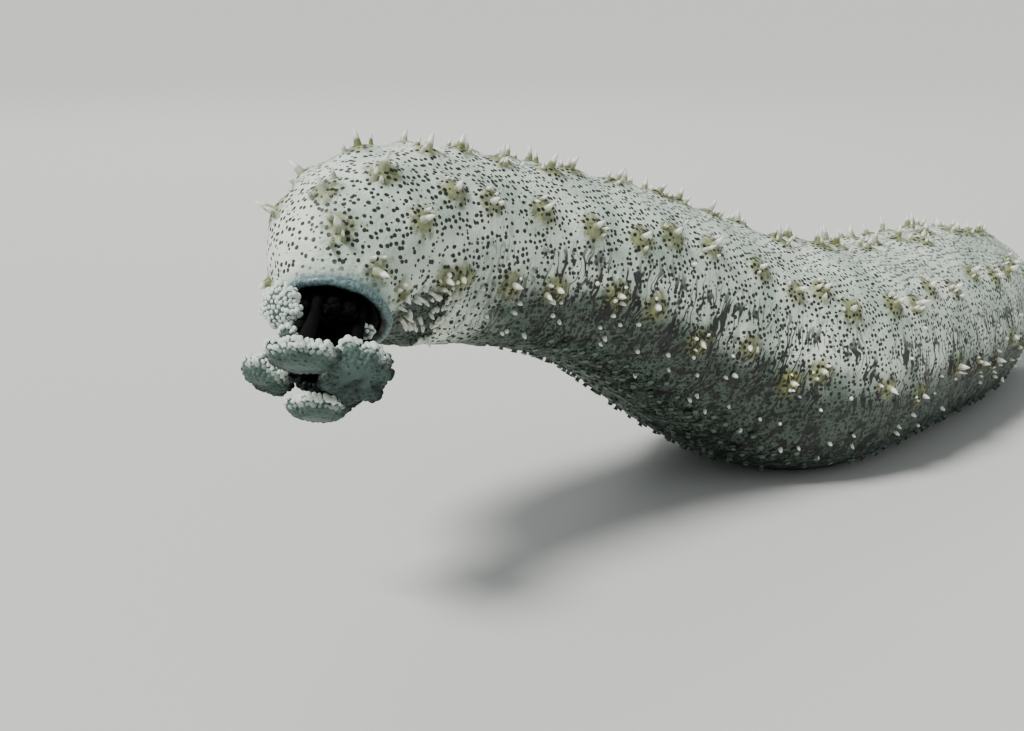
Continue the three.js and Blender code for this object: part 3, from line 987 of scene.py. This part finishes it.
class MESH_OT_sea_cucumber_papillae(bpy.types.Operator):
    """Stands pointed papillae in groups along the back and flanks"""

    bl_idname = "mesh.sea_cucumber_papillae"
    bl_label = "Papillae"

    def execute(self, context):
        size = context.scene.sea_cucumber_papillae
        random = np.random.default_rng(17)
        main, beside = [], []
        for distance, angle, height, lean in papilla_places():
            main.append((distance, angle, height, lean, 1.0))
            for _ in range(random.integers(1, 4)):
                turn = random.uniform(0, 2 * math.pi)
                gap = random.uniform(2.4, 4.2)
                radius = section(distance)["radii"][0]
                further = distance + gap * math.cos(turn)
                round_body = angle + math.degrees(gap * math.sin(turn) / radius)
                tall = height * random.uniform(0.4, 0.8)
                leant = lean + random.uniform(-0.3, 0.3)
                beside.append((further, round_body, tall, leant, random.uniform(0.5, 0.8)))
        rows = np.array(main + beside)
        distance, angle, height, lean, wide = rows[rows[:, 0] > 3].T
        places = distance, angle, lean, height
        bend = random.normal(0, 0.35, (len(height), 2))
        radius = size.radius / MM * wide * random.uniform(0.85, 1.1, len(wide))
        shade = random.uniform(0, 0.5, len(height))[:, None]
        flesh = papilla_material()
        small_shapes("papillae", flesh, PAPILLA_RINGS, 8, places, bend, radius, shade=shade)

        distance, angle, tall = small_papilla_places(random, size.beads)
        keep = skin_points(distance, angle)[:, 2] > SMALL_CLEARANCE
        distance, angle = distance[keep], angle[keep]
        height = random.uniform(0.9, 2.1, len(distance)) * tall[keep]
        places = distance, angle, random.uniform(-0.3, 0.3, len(distance)), height
        bend = random.normal(0, 0.2, (len(height), 2))
        radius = random.uniform(0.5, 0.8, len(height))
        shade = random.uniform(0.3, 1.0, len(height))[:, None]
        shape = SMALL_RINGS, 6, places, bend, radius, SMALL_LEVELS
        small_shapes("small_papillae", flesh, *shape, shade=shade)
        return {"FINISHED"}


class MESH_OT_sea_cucumber_feet(bpy.types.Operator):
    """Stands tube feet in bands where the underside is clear of the floor"""

    bl_idname = "mesh.sea_cucumber_feet"
    bl_label = "Tube feet"

    def execute(self, context):
        size = context.scene.sea_cucumber_papillae
        random = np.random.default_rng(29)
        distance, angle = [], []
        for middle in FOOT_BANDS:
            for line in (-0.5, 0.5):
                steps = np.arange(FEET_START, BODY_LENGTH - 8, size.foot_spacing / MM)
                distance.extend(steps + random.uniform(-1.2, 1.2, len(steps)))
                wander = random.uniform(-3, 3, len(steps))
                angle.extend(middle + line * FOOT_BAND_WIDTH + wander)
        distance, angle = np.array(distance), np.array(angle)
        keep = skin_points(distance, angle)[:, 2] > FOOT_CLEARANCE
        distance, angle = distance[keep], angle[keep]
        count = len(distance)
        height = random.uniform(1.0, 1.6, count)
        places = distance, angle, random.uniform(-0.3, 0.3, count), height
        bend = random.normal(0, 0.25, (count, 2))
        radius = random.uniform(0.85, 1.1, count)
        small_shapes("tube_feet", foot_material(), FOOT_RINGS, 8, places, bend, radius)
        return {"FINISHED"}


def mouth_frame():
    """The mouth's centre, its axis, the way to the back and the way to the side."""
    s = section(0.0)
    return s["point"], -s["along"], s["up"], s["side"]


def mouth_points(azimuth, out, reach):
    """Points placed round the mouth's axis."""
    centre, forward, up, side = mouth_frame()
    a = np.radians(azimuth)[..., None]
    out, reach = np.asarray(out)[..., None], np.asarray(reach)[..., None]
    return centre + forward * reach + up * (out * np.cos(a)) + side * (out * np.sin(a))


class MESH_OT_sea_cucumber_lip(bpy.types.Operator):
    """Turns the smooth blue-grey lip round the mouth"""

    bl_idname = "mesh.sea_cucumber_lip"
    bl_label = "Lip"

    def execute(self, context):
        size = context.scene.sea_cucumber_mouth
        bpy.ops.mesh.primitive_torus_add(
            major_segments=160, minor_segments=28, major_radius=1, minor_radius=LIP_TORUS
        )
        piece = named("lip")
        flat = read_points(piece)
        azimuth = np.degrees(np.arctan2(flat[:, 1], flat[:, 0]))
        beyond = np.hypot(flat[:, 0], flat[:, 1]) - 1
        turn = np.arctan2(flat[:, 2] / LIP_TORUS, beyond / LIP_TORUS)
        swell = ring_noise(np.radians(azimuth), 3, 1)
        pleat = ring_noise(np.radians(azimuth), 22, 4)
        up = (np.sin(turn) + 1) / 2
        out = size.lip_radius / MM + 0.7 * up + (LIP_WIDTH + 0.25 * swell) * np.cos(turn)
        reach = 0.1 + size.lip_height / MM * up * (1 + 0.12 * swell) + 0.14 * pleat * up
        write_points(piece, mouth_points(azimuth, out, reach))
        write_mark(piece, "inward", (1 - np.cos(turn)) / 2 * np.where(up < 0.85, 1, 0.85))
        close_surface(piece, weld=False)
        finish_piece(piece, "lip", lip_material(), "mouth_lip")
        return {"FINISHED"}


class MESH_OT_sea_cucumber_mouth(bpy.types.Operator):
    """Closes the mouth with black, wrinkled flesh that sinks towards its middle"""

    bl_idname = "mesh.sea_cucumber_mouth"
    bl_label = "Mouth"

    def execute(self, context):
        bpy.ops.mesh.primitive_uv_sphere_add(segments=96, ring_count=48, radius=1)
        piece = named("mouth_inside")
        flat = read_points(piece)
        azimuth = np.degrees(np.arctan2(flat[:, 1], flat[:, 0]))
        out = np.hypot(flat[:, 0], flat[:, 1])
        rough = np.array([noise.noise(Vector(p) * 6) for p in flat])
        front = MOUTH_FLOOR_TOP - MOUTH_FLOOR_SINK * (1 - out**2) + 0.25 * rough
        reach = np.where(flat[:, 2] > 0, front, MOUTH_FLOOR_BACK)
        write_points(piece, mouth_points(azimuth, out * MOUTH_FLOOR_RADIUS, reach))
        bpy.ops.object.shade_smooth()
        finish_piece(piece, "mouth", mouth_material(), "mouth_floor")
        return {"FINISHED"}


def bezier(points, t):
    """Points and directions on a cubic curve."""
    a, b, c, d = points
    t = t[:, None]
    place = a * (1 - t) ** 3 + 3 * b * t * (1 - t) ** 2 + 3 * c * t**2 * (1 - t) + d * t**3
    turn = 3 * (b - a) * (1 - t) ** 2 + 6 * (c - b) * t * (1 - t) + 3 * (d - c) * t**2
    return place, unit(turn)


def smooth_profile(points, count):
    """A smooth curve through profile points, evenly spaced."""
    padded, i, u = spans(points, np.linspace(0, len(points) - 1, 400))
    p0, p1, p2, p3 = (padded[i + k] for k in range(4))
    curve = 0.5 * (
        2 * p1
        + (p2 - p0) * u
        + (2 * p0 - 5 * p1 + 4 * p2 - p3) * u**2
        + (3 * p1 - p0 - 3 * p2 + p3) * u**3
    )
    path = running_sum(step_lengths(curve))
    even = np.linspace(0, path[-1], count)
    return np.stack([np.interp(even, path, column) for column in curve.T], 1), path[-1]


def build_tentacle(name, shape, root_azimuth, root_out, bead_size, seed):
    """One tentacle as a closed surface: stalk, inner side, beaded margin and outer side."""
    random = np.random.default_rng(seed)
    azimuth, out, reach, size, lean, toward = shape
    large = size > LARGE_SHIELD
    around, rings, stalk_rings = FINE_MESH if large else PLAIN_MESH
    mouth, forward, up, _ = mouth_frame()
    root = mouth_points(np.float64(root_azimuth), root_out, MOUTH_FLOOR_TOP + 0.3)
    centre = mouth_points(np.float64(azimuth), out, reach)
    away = mouth_points(np.float64(toward), 1.0, 0.0) - mouth
    lean = math.radians(lean)
    face = forward * math.cos(lean) + away * math.sin(lean)
    span = np.linalg.norm(root - centre)
    path = (root, root + forward * span * 0.45, centre - face * (span * 0.3 + 1), centre - face)
    depth, wall = size * SHIELD_DEPTH, min(SHIELD_THICKNESS, size * 0.4)
    neck = min(STALK_RADIUS * 1.4, size * 0.55)

    t = np.linspace(0, STALK_END, stalk_rings)
    middle, along = bezier(path, t)
    widths = (STALK_RADIUS, STALK_RADIUS, 1.2 * STALK_RADIUS, neck)
    stalk_radius = np.interp(t, (0, 0.3, 0.6, STALK_END), widths)
    outline = [
        (size * wide, depth * deep + wall * thick) for wide, deep, thick in SHIELD_OUTLINE
    ]
    profile, length = smooth_profile([(neck * 1.05, -1.3), *outline], rings - stalk_rings + 1)
    middles = np.vstack([middle, centre + face * profile[:, 1:]])
    alongs = np.vstack([along, np.repeat(face[None], len(profile), 0)])
    radii = np.concatenate([stalk_radius, profile[:, 0]])
    walk = np.linspace(0, length, len(profile))
    margin_at = walk[np.argmax(profile[:, 0])]

    ups = carry(up, alongs)
    sides = np.cross(ups, alongs)

    turn = np.linspace(0, 2 * math.pi, around + 1)
    lobe, bead, outer, push, pale = np.zeros((5, len(middles), around + 1))
    first = len(middle)
    share = profile[:, 0] / size
    uneven = 0.03 * np.cos(3 * turn + random.uniform(0, 6))
    lobes = LOBE_DEPTH * np.cos(SHIELD_LOBES * turn) + uneven
    lobe[first:] = ramp(share, 0.45, 0.5)[:, None] * lobes[None]
    beyond = walk - margin_at
    outer[first:] = np.clip(beyond / 1.2 + 0.5, 0, 1)[:, None]
    beaded = seed in PALE_TENTACLES
    for r in range(BEAD_ROWS[0 if beaded and large else 1 if large else 2]):
        at = (r - 0.35) * bead_size * 0.82
        radius_here = max(np.interp(margin_at + at, walk, profile[:, 0]), 0.5)
        number = max(int(2 * math.pi * radius_here / bead_size), 5)
        for k in range(number):
            a = (k + 0.5 * (r % 2) + random.uniform(-0.2, 0.2)) * 2 * math.pi / number
            wide = bead_size * random.uniform(0.42, 0.62) * (1 - 0.05 * r)
            jitter = at + random.uniform(-0.25, 0.25)
            da = (turn - a + math.pi) % (2 * math.pi) - math.pi
            gap = np.hypot((da * radius_here)[None], (beyond - jitter)[:, None]) / wide
            dome = np.sqrt(np.maximum(1 - gap**2, 0))
            push[first:] = np.maximum(push[first:], dome * wide * (1.15 if r < 2 else 0.6))
            shown = 1.0 if beaded else max(1.0 - 0.28 * r, 0)
            bead[first:] = np.maximum(bead[first:], (dome > 0) * shown)
    wave = 0.4 * np.array([ring_noise(turn, 2, w / 3 + seed) for w in walk])
    rough = wave * np.clip(share, 0, 1)[:, None] * (1 if large else 0.3)

    radial = radii[:, None] * (1 + lobe)
    points = (
        middles[:, None]
        + ups[:, None] * (radial * np.cos(turn))[..., None]
        + sides[:, None] * (radial * np.sin(turn))[..., None]
    )
    points[first:] += face * rough[..., None]
    # The pale mark: 1 on the pale tentacles; on the other large ones it is painted light and
    # shade, paler towards the back and darker below; 0 on the shaded ones, where it is painted
    # shade.
    if beaded:
        pale[first:] = 1
    elif large and seed not in SHADED_TENTACLES:
        pale[first:] = np.clip(0.45 + 0.75 * np.cos(turn), 0, 1)
    elif not large:
        bead, outer = bead * 0, outer * 0
    normals = unit(np.cross(np.gradient(points, axis=0), np.gradient(points, axis=1)))
    normals[:, 0] = normals[:, -1] = unit(normals[:, 1] + normals[:, -2])
    outward = points - middles[:, None]
    normals *= np.sign((normals[3 : first - 3] * outward[3 : first - 3]).sum(-1).mean())
    points += normals * push[..., None]
    points[:, -1] = points[:, 0]
    points[-1] = points[-1].mean(0)
    start = np.repeat(root[None, None], around + 1, 1)
    points = np.concatenate([start, points])
    lead = np.zeros((1, around + 1))

    piece, column, row = new_grid(name, around, len(points) - 1)
    write_points(piece, points[row, column])
    for key, values in (("bead", bead), ("outer", outer), ("pale", pale)):
        write_mark(piece, key, np.vstack([lead, values])[row, column])
    close_surface(piece)
    return piece


class MESH_OT_sea_cucumber_tentacles(bpy.types.Operator):
    """Grows the black-stalked tentacles with their beaded shields"""

    bl_idname = "mesh.sea_cucumber_tentacles"
    bl_label = "Tentacles"

    def execute(self, context):
        bead = context.scene.sea_cucumber_mouth.bead_size / MM
        flesh = tentacle_material()
        number = 0
        rings = ((OUTER_TENTACLES, OUTER_RING), (INNER_TENTACLES, INNER_RING))
        for shapes, (out, start) in rings:
            for i, shape in enumerate(shapes):
                number += 1
                root = start + i * 360 / len(shapes)
                shape = shape or (root, out + DRAWN_OUT, *DRAWN_IN, root)
                name = f"feeding_tentacle_{number:02d}"
                piece = build_tentacle(name, shape, root, out, bead, number)
                finish_piece(piece, "tentacle", flesh, f"tentacle_{number:02d}")
        return {"FINISHED"}


class SCENE_OT_sea_cucumber_stage(bpy.types.Operator):
    """Lays the floor and sets the lights and the camera"""

    bl_idname = "scene.sea_cucumber_stage"
    bl_label = "Stage"

    def execute(self, context):
        bpy.ops.mesh.primitive_plane_add(size=60, location=(0, 0, -0.0002))
        floor = named("stage_floor")
        floor.data.materials.append(floor_material())

        world = context.scene.world or bpy.data.worlds.new("studio")
        context.scene.world = world
        world.use_nodes = True
        background = world.node_tree.nodes["Background"]
        background.inputs["Color"].default_value = (0.84, 0.89, 0.92, 1)
        background.inputs["Strength"].default_value = 0.4

        for name, kind, place, size, power, tint in LIGHTS:
            bpy.ops.object.light_add(type=kind, location=place)
            light = named(name)
            if kind == "SUN":
                light.data.angle = size
            else:
                light.data.size = size
            light.data.energy = power
            light.data.color = tint
            way = Vector(LIT_POINT) - Vector(place)
            light.rotation_euler = way.to_track_quat("-Z", "Y").to_euler()

        bpy.ops.object.camera_add(location=CAMERA_PLACE)
        camera = named("photo_camera")
        camera.rotation_euler = CAMERA_TURN
        camera.data.lens = 50
        camera.data.sensor_width = 36
        camera.data.clip_start = 0.01
        context.scene.camera = camera
        return {"FINISHED"}


class VIEW3D_PT_sea_cucumber(bpy.types.Panel):
    """Lists the pieces of the sea cucumber"""

    bl_label = "Sea Cucumber"
    bl_idname = "VIEW3D_PT_sea_cucumber"
    bl_space_type = "VIEW_3D"
    bl_region_type = "UI"
    bl_category = "Sea Cucumber"

    def draw(self, context):
        for name, group in GROUPS.items():
            box = self.layout.box()
            for key in group.__annotations__:
                box.prop(getattr(context.scene, name), key)
        for piece in PIECES:
            self.layout.operator(piece.bl_idname)


GROUPS = {
    "sea_cucumber_skin": SeaCucumberSkin,
    "sea_cucumber_papillae": SeaCucumberPapillae,
    "sea_cucumber_mouth": SeaCucumberMouth,
    "sea_cucumber_colours": SeaCucumberColours,
}
PIECES = (
    MESH_OT_sea_cucumber_skin,
    MESH_OT_sea_cucumber_papillae,
    MESH_OT_sea_cucumber_feet,
    MESH_OT_sea_cucumber_lip,
    MESH_OT_sea_cucumber_mouth,
    MESH_OT_sea_cucumber_tentacles,
    SCENE_OT_sea_cucumber_stage,
)


def register():
    """Adds the settings, the operators and the panel."""
    for group in (*GROUPS.values(), *PIECES, VIEW3D_PT_sea_cucumber):
        bpy.utils.register_class(group)
    for name, group in GROUPS.items():
        setattr(bpy.types.Scene, name, bpy.props.PointerProperty(type=group))


def unregister():
    """Removes the settings, the operators and the panel."""
    for name in GROUPS:
        delattr(bpy.types.Scene, name)
    for group in reversed((*GROUPS.values(), *PIECES, VIEW3D_PT_sea_cucumber)):
        bpy.utils.unregister_class(group)


def main():
    """Builds every piece and the stage."""
    register()
    bpy.ops.mesh.sea_cucumber_skin()
    bpy.ops.mesh.sea_cucumber_papillae()
    bpy.ops.mesh.sea_cucumber_feet()
    bpy.ops.mesh.sea_cucumber_lip()
    bpy.ops.mesh.sea_cucumber_mouth()
    bpy.ops.mesh.sea_cucumber_tentacles()
    bpy.ops.scene.sea_cucumber_stage()
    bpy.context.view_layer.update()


if __name__ == "__main__":
    main()
